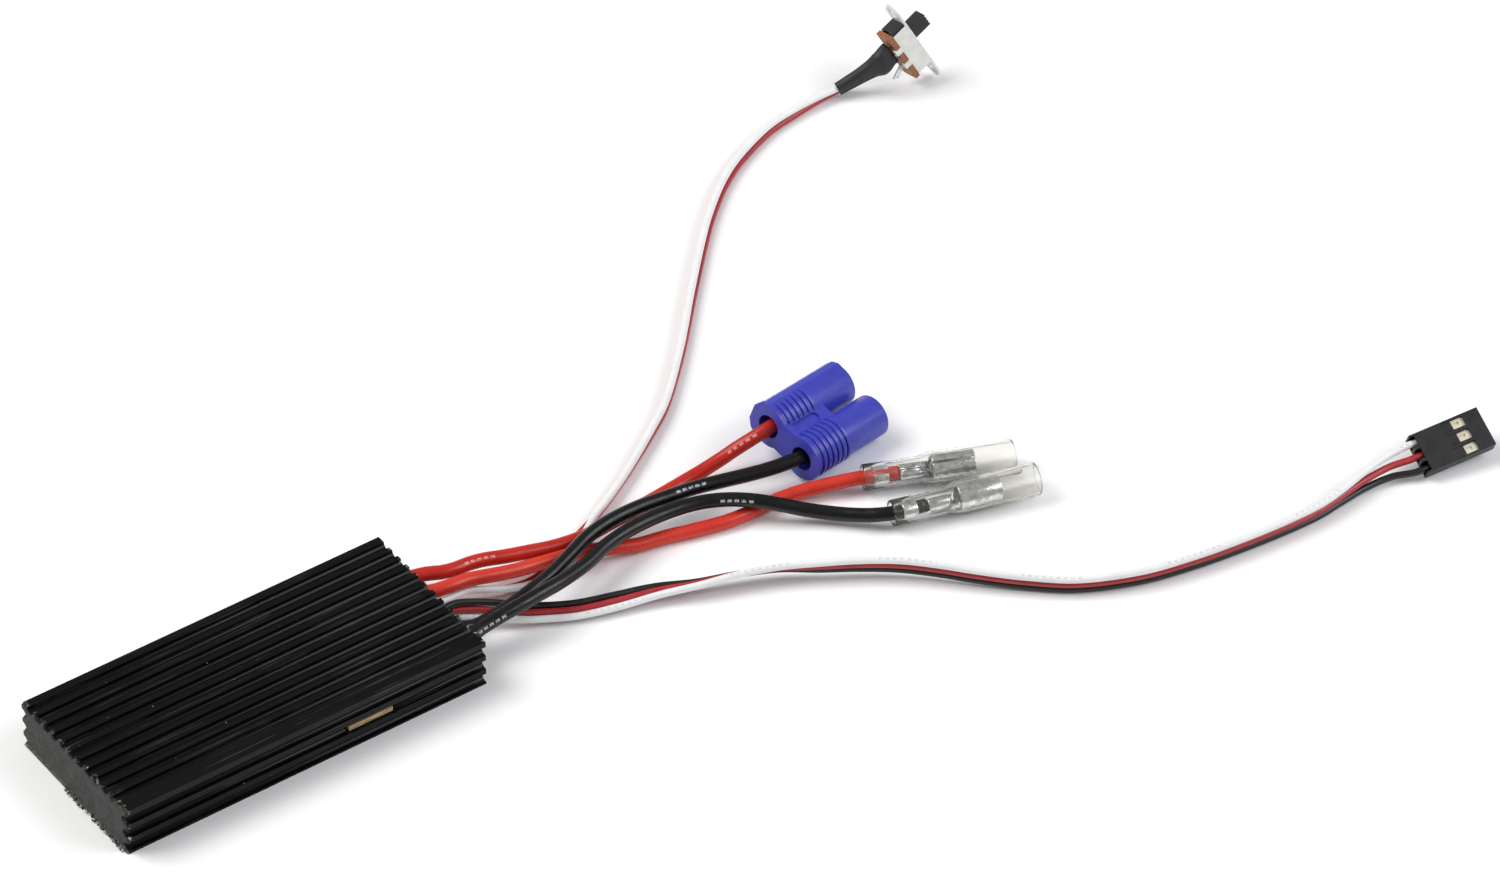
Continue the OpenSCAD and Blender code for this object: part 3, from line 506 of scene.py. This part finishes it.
def add_wire(name, line, radius, slot, print_from, print_angle):
    """A wire in place of its CAD node, with its own along and around coordinates."""
    bm = bmesh.new()
    uv = bm.loops.layers.uv.new("wire")
    angles = [2 * math.pi * k / WIRE_SIDES for k in range(WIRE_SIDES)]
    rings = []
    for point, (_, left, up) in zip(line, frames(line)):
        rings.append([point + radius * (math.cos(a) * left + math.sin(a) * up) for a in angles])
    add_rings(bm, rings)
    bm.verts.index_update()
    walked = [0.0]
    for a, b in zip(line, line[1:]):
        walked.append(walked[-1] + (b - a).length)
    start = 0.5 - print_angle / 360
    for face in bm.faces:
        if len(face.verts) > 4:
            continue
        columns = [loop.vert.index % WIRE_SIDES for loop in face.loops]
        wraps = 0 in columns and WIRE_SIDES - 1 in columns
        for loop, column in zip(face.loops, columns):
            around = (column or (WIRE_SIDES if wraps else 0)) / WIRE_SIDES
            ring = loop.vert.index // WIRE_SIDES
            loop[uv].uv = (walked[ring] - print_from, around + start)
    for face in bm.faces:
        if len(face.verts) == 4:
            lowest = min(loop[uv].uv.y for loop in face.loops)
            shift = math.floor(lowest)
            for loop in face.loops:
                loop[uv].uv.y -= shift
    return add_piece(name, bm, slot, replaces=[name])


# ---------------------------------------------------------------- routes of the wires


def vectors(points):
    return [Vector(p) for p in points]


battery_positive_route = vectors([
    (WIRE_START_X, 8.2, POWER_Z), (36.5, 8.2, POWER_Z), (40.2, 7.4, POWER_Z), (42.6, 6.3, 5.8),
    (45.2, 5.8, 5.6), (48, 5.8, 5.35), (51, 5.4, 5.05), (54.5, 4.5, 4.6), (59, 3.6, 4),
    (64.5, 2.6, 3.3), (70.5, 2.1, 3), (76.5, 2.8, 2.6), (84, 4, 1.8), (91.5, 4.9, 1.6),
    (97, 4.9, 2.3), (101, 4.5, 3.5), (104, 4, 4.8), (107, 3.2, 6.3),
]) + [
    at(plug_pose, (0.3, PLUG_PITCH / 2 - 0.1, -0.4)),
    at(plug_pose, (PLUG_WIRE_X, PLUG_PITCH / 2, 0)),
]

battery_negative_route = vectors([
    (WIRE_START_X, -7.3, POWER_Z), (36.2, -7.3, POWER_Z), (40, -7.7, 4.9), (44, -7.8, 5.2),
    (48.5, -7.3, 5.5), (53, -6.5, 5.8), (58, -5.1, 5.8), (63.5, -2.9, 5.8), (69, -0.7, 5.8),
    (74, 0.4, 5.7), (80, 0.9, 5.3), (86, 0.6, 4.9), (92, 0, 4.6), (97, -1.2, 4.5),
    (102, -2.7, 4.6), (107, -4.2, 5),
]) + [
    at(plug_pose, (0.2, 0.4 - PLUG_PITCH / 2, -0.2)),
    at(plug_pose, (PLUG_WIRE_X, -PLUG_PITCH / 2, 0)),
]

motor_positive_route = vectors([
    (WIRE_START_X, 3.4, POWER_Z), (36.5, 3.4, POWER_Z), (39.5, 2.75, POWER_Z), (42.5, 2.35, 5.85),
    (45.6, 2.2, 5.55), (48.5, 1.65, 5.15), (51.5, 1.05, 4.7), (55, 0.6, 4.15), (60.5, 0.2, 3.4),
    (65.5, -0.5, 3), (71, -1.9, 2.5), (77, -3.7, 1.6), (83, -4.8, 1.35), (89, -6.5, 1.35),
    (95, -7.8, 1.35), (101, -8, 1.4), (107, -8.9, 1.9), (113, -11, 2.5),
]) + [at(socket_pos_pose, (-1, 0, 0)), at(socket_pos_pose, (SOCKET_WIRE_X, 0, 0))]

motor_negative_route = vectors([
    (WIRE_START_X, -10.5, POWER_Z), (36.5, -10.5, POWER_Z), (40, -10, 6.3), (44.5, -10, 7),
    (48.5, -9.9, 7.3), (52.5, -9.5, 7.3), (56.5, -8.9, 7), (60.5, -7.8, 6.4), (65, -6.4, 5.9),
    (70, -4.5, 5.7), (76, -3, 5.2), (83, -2.6, 4.8), (89.5, -3.4, 4.6), (94.5, -5.4, 4.5),
    (98.5, -8.3, 4.4), (102, -11.3, 3.9), (106, -14.3, 2.7), (110, -17.7, 2.2),
    (113.2, -20.9, 2.5), (115.6, -23, 2.9),
]) + [at(socket_neg_pose, (1, 0, 0)), at(socket_neg_pose, (SOCKET_WIRE_X, 0, 0))]

# Place, roll and spread of each ribbon. The roll is the way its white edge points, seen along the
# lead: 0 is to the left and 90 is up.
shrink_lead = [
    ((181, 78.6, 1.8), 119, 1.02), ((182.9, 78.05, 2.7), 114, 1.02),
    ((184.9, 77.05, 4.1), 106, 1.02), ((187, 75.8, 5.9), 90, 1.1),
    (at(switch_pose, (-1.25, 0, TERMINAL_TIP - 0.2)), 72, 1.45),
]
switch_ribbon = [
    ((WIRE_START_X, 1.2, BOARD_Z), 90, 1), ((36.5, 1.2, BOARD_Z), 90, 1),
    ((40, 1.7, 3.6), 118, 1), ((43.3, 2.2, 3.25), 133, 1), ((45.4, 2.2, 3.15), 137, 1),
    ((47.7, 1.5, 2.7), 138, 1), ((50.3, 0.5, 2.1), 139, 1), ((53.1, -0.2, 1.5), 145, 1),
    ((56.5, -0.5, 1.05), 162, 1), ((60.5, 0.1, 0.8), 175, 1), ((65, 1.8, 0.75), 178, 1),
    ((69.5, 3.9, 0.9), 165, 1.02), ((72.3, 5.25, 1.2), 138, 1.02), ((75.2, 6.75, 1.35), 113, 1),
    ((80, 9.2, 1.35), 109, 1), ((87.5, 13.6, 1.35), 104, 1), ((97, 19.8, 1.4), 94, 1),
    ((104, 25, 1.4), 88, 1), ((114.5, 35.3, 1.4), 80, 1), ((125, 46.7, 1.4), 73, 1),
    ((136, 58.3, 1.4), 70, 1), ((142, 64, 1.4), 71, 1), ((148, 68.9, 1.4), 73, 1),
    ((154.5, 72.9, 1.4), 75, 1), ((163.5, 76.7, 1.4), 78, 1), ((170.5, 78.1, 1.4), 86, 1),
    ((176.5, 78.7, 1.5), 107, 1),
] + shrink_lead

receiver_ribbon = [
    ((WIRE_START_X, -1.6, BOARD_Z), 270, 1), ((36.5, -1.6, BOARD_Z), 270, 1),
    ((40, -1.75, 4.2), 257, 1), ((43.5, -3.2, 3.7), 245, 1), ((46, -4.6, 3.2), 232, 1),
    ((49.7, -6.8, 2.5), 212, 1), ((53, -8.5, 1.9), 198, 1), ((59, -11.6, 1.75), 193, 1),
    ((65.8, -13.8, 1.8), 188, 1), ((72.8, -15.8, 1.95), 172, 1), ((79.3, -18.8, 2.4), 151, 1),
    ((86.3, -21.3, 2.8), 138, 1), ((93, -24.2, 3), 130, 1), ((99, -27.9, 3), 115, 1),
    ((105, -31.6, 3), 108, 1), ((110.7, -35.8, 3), 104, 1), ((115.8, -40.6, 2.8), 103, 1),
    ((120.7, -45.7, 2.5), 102, 1), ((127, -51.6, 2.15), 102, 1), ((134, -57.2, 2.1), 102, 1),
    ((144, -61.7, 2.1), 101, 1), ((154, -64, 2.1), 99, 1), ((163, -65.2, 2.05), 98, 1),
    ((172, -66, 2.05), 96, 1), ((180, -66.2, 2.05), 92, 1), ((186, -65.5, 2.1), 86, 1),
    ((191.5, -64.8, 2.3), 68, 1.05), ((197, -64.8, 2.6), 42, 1.32),
    (at(receiver_pose, (-1.2, 0, 0)), 27, CONTACT_PITCH / STRAND_PITCH),
    (at(receiver_pose, (2, 0, 0)), 27, CONTACT_PITCH / STRAND_PITCH),
]


# Rolls are smoothed together with places: this many degrees count as one millimetre
ROLL_UNIT = 10


def strand_line(ribbon, side):
    """One strand's smooth centre line, side pitches from the middle of its ribbon."""
    packed = [Vector((*place, roll / ROLL_UNIT, spread)) for place, roll, spread in ribbon]
    smooth = smooth_line(packed, 1.0)
    middle = [Vector(p[:3]) for p in smooth]
    line = []
    for point, values, (_, left, up) in zip(middle, smooth, frames(middle)):
        roll, spread = math.radians(values[3] * ROLL_UNIT), values[4]
        across = math.cos(roll) * left + math.sin(roll) * up
        line.append(point + side * STRAND_PITCH * spread * across)
    return line


# name: centre line, radius, slot, millimetres to its first print, degrees around to the print
WIRES = {
    "battery_wire_positive": (
        smooth_line(battery_positive_route), POWER_R, "silicone_red", 18.5, 125),
    "battery_wire_negative": (
        smooth_line(battery_negative_route), POWER_R, "silicone_black", 61, 125),
    "motor_wire_positive": (smooth_line(motor_positive_route), POWER_R, "silicone_red", 30, 300),
    "motor_wire_negative": (
        smooth_line(motor_negative_route), POWER_R, "silicone_black", 10, 150),
    "switch_wire_white": (strand_line(switch_ribbon, 0.5), STRAND_R, "lead_white", 3, 20),
    "switch_wire_red": (strand_line(switch_ribbon, -0.5), STRAND_R, "lead_red", 0, 100),
    "receiver_wire_signal": (strand_line(receiver_ribbon, 1), STRAND_R, "lead_white", 8, 110),
    "receiver_wire_positive": (strand_line(receiver_ribbon, 0), STRAND_R, "lead_red", 0, 100),
    "receiver_wire_negative": (strand_line(receiver_ribbon, -1), STRAND_R, "lead_black", 0, 100),
}
wires = {name: add_wire(name, *facts) for name, facts in WIRES.items()}
wires["motor_wire_positive"].data.materials[0] = silicone(
    "silicone_red_bright", (0.66, 0.042, 0.024), (0.55, 0.03, 0.017), (0.9, 0.6, 0.55))

# ---------------------------------------------------------------- CAD nodes seen as they are

# Rounding of each node's edges in millimetres
EDGE_R = {
    "heatsink_case": 0.16, "potting_compound": 0.1, "circuit_board": 0.03,
    "battery_plug_housing": 0.09, "battery_pin_positive": 0.1, "battery_pin_negative": 0.1,
    "receiver_plug_housing": 0.1, "receiver_plug_contacts": 0.06, "switch_frame": 0.09,
    "switch_base": 0.05, "switch_terminals": 0.06, "switch_slider": 0.12, "switch_bridge": 0.03,
}


def round_edges(node, radius):
    """Rounds a CAD node's edges with modifiers: its own mesh isn't touched."""
    weld = node.modifiers.new("weld", "WELD")
    weld.merge_threshold = 0.002 * MM
    flat = node.modifiers.new("flat", "DECIMATE")
    flat.decimate_type = "DISSOLVE"
    flat.angle_limit = math.radians(0.5)
    bevel = node.modifiers.new("round", "BEVEL")
    bevel.width = radius * MM
    bevel.segments = 3
    bevel.limit_method = "ANGLE"
    bevel.angle_limit = math.radians(32)
    bevel.harden_normals = True


for entry in frame["record"]["subparts"]:
    node = NODES[entry["node"]]
    node.data.materials.clear()
    node.data.materials.append(MATERIALS[entry["material_slot"]])
    if entry["node"] in EDGE_R:
        round_edges(node, EDGE_R[entry["node"]])
NODES["receiver_plug_contacts"].data.materials[0] = sheet(
    "pale_gold_plate", (0.85, 0.8, 0.66), (0.7, 0.62, 0.46), 0.35, 0.3)

# ---------------------------------------------------------------- resin crumbs

CRUMB_COUNT = 60


def resin_crumbs():
    """Broken crumbs of resin that cling to the bottom edge of the blind end."""
    rng = random.Random(11)
    bm = bmesh.new()
    for _ in range(CRUMB_COUNT):
        size = rng.uniform(0.12, 0.42)
        out, across, lift = rng.uniform(0.35, 0.95), rng.uniform(-15, 3), rng.uniform(0, 0.5)
        place = Vector((CASE_START_X - out, across, size + lift))
        made = bmesh.ops.create_icosphere(bm, subdivisions=1, radius=size)["verts"]
        for v in made:
            v.co = place + v.co * rng.uniform(0.6, 1.0)
    return add_piece("resin_crumbs", bm, "resin", smooth=False)


resin_crumbs()

# ---------------------------------------------------------------- motor sleeves and sockets

SLEEVE_SIDES = 48


def motor_sleeve(name, matrix):
    """The clear stepped sleeve: a turned wall with rolled rims."""
    bm = bmesh.new()
    # (x, radius) along the outside, then back along the inside
    outer = [(0, 2.3), (0.25, 2.42), (5, 2.36), (9.5, 2.4), (10.6, 2.55), (12, 2.95), (13, 3.05),
             (20, 3.0), (27.15, 3.05), (27.4, 2.95)]
    inner = [(27.4, 2.55), (27.1, 2.45), (20, 2.42), (13, 2.44), (11.8, 2.3), (10.4, 1.98),
             (5, 1.84), (0.2, 1.88), (0, 2.0)]
    angles = [2 * math.pi * k / SLEEVE_SIDES for k in range(SLEEVE_SIDES)]
    add_hollow(bm, [
        [matrix @ Vector((x, r * math.cos(a), r * math.sin(a))) for a in angles]
        for x, r in outer + inner
    ])
    return add_piece(name, bm, "clear_pvc", replaces=[name])


def bent_sheet(bm, matrix, x0, x1, arc, wall, steps):
    """Sheet metal of one wall thickness bent around x: arc gives (y, z) from 0 to 1."""
    stations = [arc(i / steps) for i in range(steps + 1)]
    inner = []
    for i, (y, z) in enumerate(stations):
        y0, z0 = stations[max(i - 1, 0)]
        y1, z1 = stations[min(i + 1, steps)]
        size = math.hypot(y1 - y0, z1 - z0)
        inner.append((y - wall * (z1 - z0) / size, z + wall * (y1 - y0) / size))
    outline = stations + inner[::-1]
    soft, closed, rounded = 0.07, 0.5, 0.08
    middle = [((a[0] + b[0]) / 2, (a[1] + b[1]) / 2) for a, b in zip(stations, inner)]
    core = middle + middle[::-1]

    def ring(x, share):
        """The outline drawn in towards its core by share: at 0.5 the wall has no thickness left."""
        points = [
            (a[0] + (b[0] - a[0]) * share, a[1] + (b[1] - a[1]) * share)
            for a, b in zip(outline, core)
        ]
        return [matrix @ Vector((x, y, z)) for y, z in points]

    add_rings(bm, [
        ring(x0, closed), ring(x0 + soft, rounded), ring(x0 + 2 * soft, 0),
        ring(x1 - 2 * soft, 0), ring(x1 - soft, rounded), ring(x1, closed),
    ])


def circle_arc(radius, start, end):
    def arc(t):
        a = math.radians(start + (end - start) * t)
        return radius * math.cos(a), radius * math.sin(a)
    return arc


def crimp_arc(radius, tuck):
    """Two wings that curl over and meet on top, tucking in where they meet."""
    def arc(t):
        a = math.radians(-250 + 320 * t)
        closeness = abs(2 * t - 1) ** 6
        across = radius * (1 - 0.25 * closeness) * math.cos(a)
        return across, radius * math.sin(a) * (1 - tuck * closeness)
    return arc


def motor_socket(name, matrix, turn):
    """A crimped bullet socket: rolled barrel, strips, conductor crimp and insulation grip."""
    bm = bmesh.new()
    turned = matrix @ Matrix.Rotation(math.radians(turn), 4, "X")
    # start and end along the axis, bend, wall, steps
    bands = (
        (12.4, 20.2, circle_arc(2.3, 95, 445), 0.35, 40),
        (10.4, 12.7, circle_arc(1.95, 200, 340), 0.35, 12),
        (6.6, 10.6, crimp_arc(1.5, 0.35), 0.4, 28),
        (4.6, 6.8, circle_arc(1.72, 215, 325), 0.35, 12),
        (1.9, 4.5, crimp_arc(1.76, 0.1), 0.35, 28),
    )
    for band in bands:
        bent_sheet(bm, turned, *band)
    return add_piece(name, bm, "tin_plate", replaces=[name])


def bare_strands(name, matrix):
    """The stripped end of a motor wire: a bundle of fine tinned strands inside the crimp."""
    bm = bmesh.new()
    strand_r, sides, middle_x, cut_x = 0.19, 8, 8.5, 11
    angles = [2 * math.pi * k / sides for k in range(sides)]
    circles = ((0.0, 1), (0.42, 6), (0.8, 11))  # radius, strands on it
    rng = random.Random(name)
    for ring_r, count in circles:
        for i in range(count):
            turn = 2 * math.pi * i / count
            centre = Vector((0, ring_r * math.cos(turn), ring_r * math.sin(turn)))
            end = cut_x + rng.uniform(-0.3, 0.5)
            add_rings(bm, [
                [matrix @ (centre + Vector((x, strand_r * math.cos(a), strand_r * math.sin(a))))
                 for a in angles]
                for x in (SOCKET_WIRE_X - 0.4, middle_x, end)
            ])
    return add_piece(name, bm, "solder")


sleeves, sockets, bare_ends = {}, {}, {}
for sign, matrix, turn in (("positive", socket_pos_pose, 25), ("negative", socket_neg_pose, -35)):
    sleeves[sign] = motor_sleeve("motor_sleeve_" + sign, matrix)
    sockets[sign] = motor_socket("motor_socket_" + sign, matrix, turn)
    bare_ends[sign] = bare_strands("bare_strands_" + sign, matrix)

# ---------------------------------------------------------------- shrink tube

# Place, roll, half width and half thickness of each ring, from the lead to the switch
SHRINK_RINGS = [
    ((181, 78.6, 1.8), 119, 1.77, 1.09), ((182.9, 78.05, 2.7), 114, 1.77, 1.09),
    ((184.9, 77.05, 4.1), 106, 1.77, 1.1), ((187, 75.8, 5.9), 90, 1.95, 1.25),
    (at(switch_pose, (-1.35, 0, TERMINAL_TIP)), 72, 2.42, 1.42),
    (at(switch_pose, (-1.55, 0, -6.3)), 72, 2.5, 1.24),
    (at(switch_pose, (-1.6, 0, -5.15)), 72, 2.45, 1.13),
]
SHRINK_WALL = 0.26
SHRINK_SIDES = 40


def shrink_tube():
    """The shrink tube: flat where it holds the strands, fuller over the terminals."""
    packed = [
        Vector((*place, roll / ROLL_UNIT, wide, thick)) for place, roll, wide, thick in SHRINK_RINGS
    ]
    smooth = smooth_line(packed, 0.5)
    middle = [Vector(p[:3]) for p in smooth]
    outer, inner = [], []
    for point, values, (ahead, left, up) in zip(middle, smooth, frames(middle)):
        roll, wide, thick = math.radians(values[3] * ROLL_UNIT), values[4], values[5]
        wide_axis = math.cos(roll) * left + math.sin(roll) * up
        thick_axis = ahead.cross(wide_axis)
        for rings, less in ((outer, 0.0), (inner, SHRINK_WALL)):
            ring = []
            for k in range(SHRINK_SIDES):
                angle = 2 * math.pi * k / SHRINK_SIDES
                r = thick - less
                shift = math.copysign(wide - thick, math.cos(angle))
                soft = min(1.0, abs(math.cos(angle)) * 6)
                ring.append(point + (shift * soft + r * math.cos(angle)) * wide_axis
                            + r * math.sin(angle) * thick_axis)
            rings.append(ring)
    bm = bmesh.new()
    add_hollow(bm, outer + inner[::-1])
    return add_piece("switch_heatshrink", bm, "shrink_black", replaces=["switch_heatshrink"])


shrink = shrink_tube()

# ---------------------------------------------------------------- cords

SWITCH_PIECES = [
    NODES["switch_" + n] for n in ("frame", "base", "terminals", "slider", "bridge")
]
PLUG = NODES["battery_plug_housing"]
RECEIVER_PIECES = [NODES["receiver_plug_housing"], NODES["receiver_plug_contacts"]]
ON_CORD = {
    "battery_wire_positive": ("plug", [PLUG, NODES["battery_pin_positive"]]),
    "battery_wire_negative": ("plug", [PLUG, NODES["battery_pin_negative"]]),
    "switch_wire_white": ("fitting", SWITCH_PIECES + [shrink]),
    "switch_wire_red": ("fitting", SWITCH_PIECES + [shrink]),
    "receiver_wire_signal": ("plug", RECEIVER_PIECES),
    "receiver_wire_positive": ("plug", RECEIVER_PIECES),
    "receiver_wire_negative": ("plug", RECEIVER_PIECES),
}
for sign in sockets:
    ON_CORD["motor_wire_" + sign] = ("connector", [sockets[sign], sleeves[sign], bare_ends[sign]])
for name, (line, radius, *_) in WIRES.items():
    far_end, on_it = ON_CORD[name]
    line_length(line) * MM
    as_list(on_it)

# ---------------------------------------------------------------- floor and light

FLOOR_SIZE = 3  # metres
FLOOR_GAP = 0.00002  # metres under the part, so that no faces coincide
LIGHT_AIM = Vector((0.08, 0, 0))  # metres


def make_floor():
    bm = bmesh.new()
    bmesh.ops.create_grid(bm, x_segments=1, y_segments=1, size=FLOOR_SIZE)
    mesh = bpy.data.meshes.new("floor")
    bm.to_mesh(mesh)
    bm.free()
    floor = bpy.data.objects.new("floor", mesh)
    bpy.context.scene.collection.objects.link(floor)
    floor.location.z = -FLOOR_GAP
    s = Surface("floor_paper", (0.93, 0.93, 0.935), 0.8)
    s.set(**{"Specular IOR Level": 0.2})
    mesh.materials.append(s.material)


def make_light(name, direction, distance, size, power, colour):
    """An area light that looks at the object from a direction, in metres."""
    data = bpy.data.lights.new(name, "AREA")
    data.shape = "RECTANGLE"
    data.size, data.size_y = size
    data.energy = power
    data.color = colour
    light = bpy.data.objects.new(name, data)
    bpy.context.scene.collection.objects.link(light)
    towards = Vector(direction).normalized()
    light.location = LIGHT_AIM + towards * distance
    light.rotation_euler = towards.to_track_quat("Z", "Y").to_euler()


def make_world(strength):
    world = bpy.data.worlds.new("studio")
    world.use_nodes = True
    background = world.node_tree.nodes["Background"]
    background.inputs["Color"].default_value = (1, 1, 1, 1)
    background.inputs["Strength"].default_value = strength
    bpy.context.scene.world = world


make_floor()
make_world(0.36)
make_light("key", (-0.55, 0.5, 0.9), 1.2, (0.75, 0.75), 12, (1, 0.99, 0.97))
make_light("fill", (0.75, -0.6, 0.75), 1.3, (0.9, 0.7), 9, (0.95, 0.96, 1))
bpy.context.scene.view_settings.view_transform = "Standard"
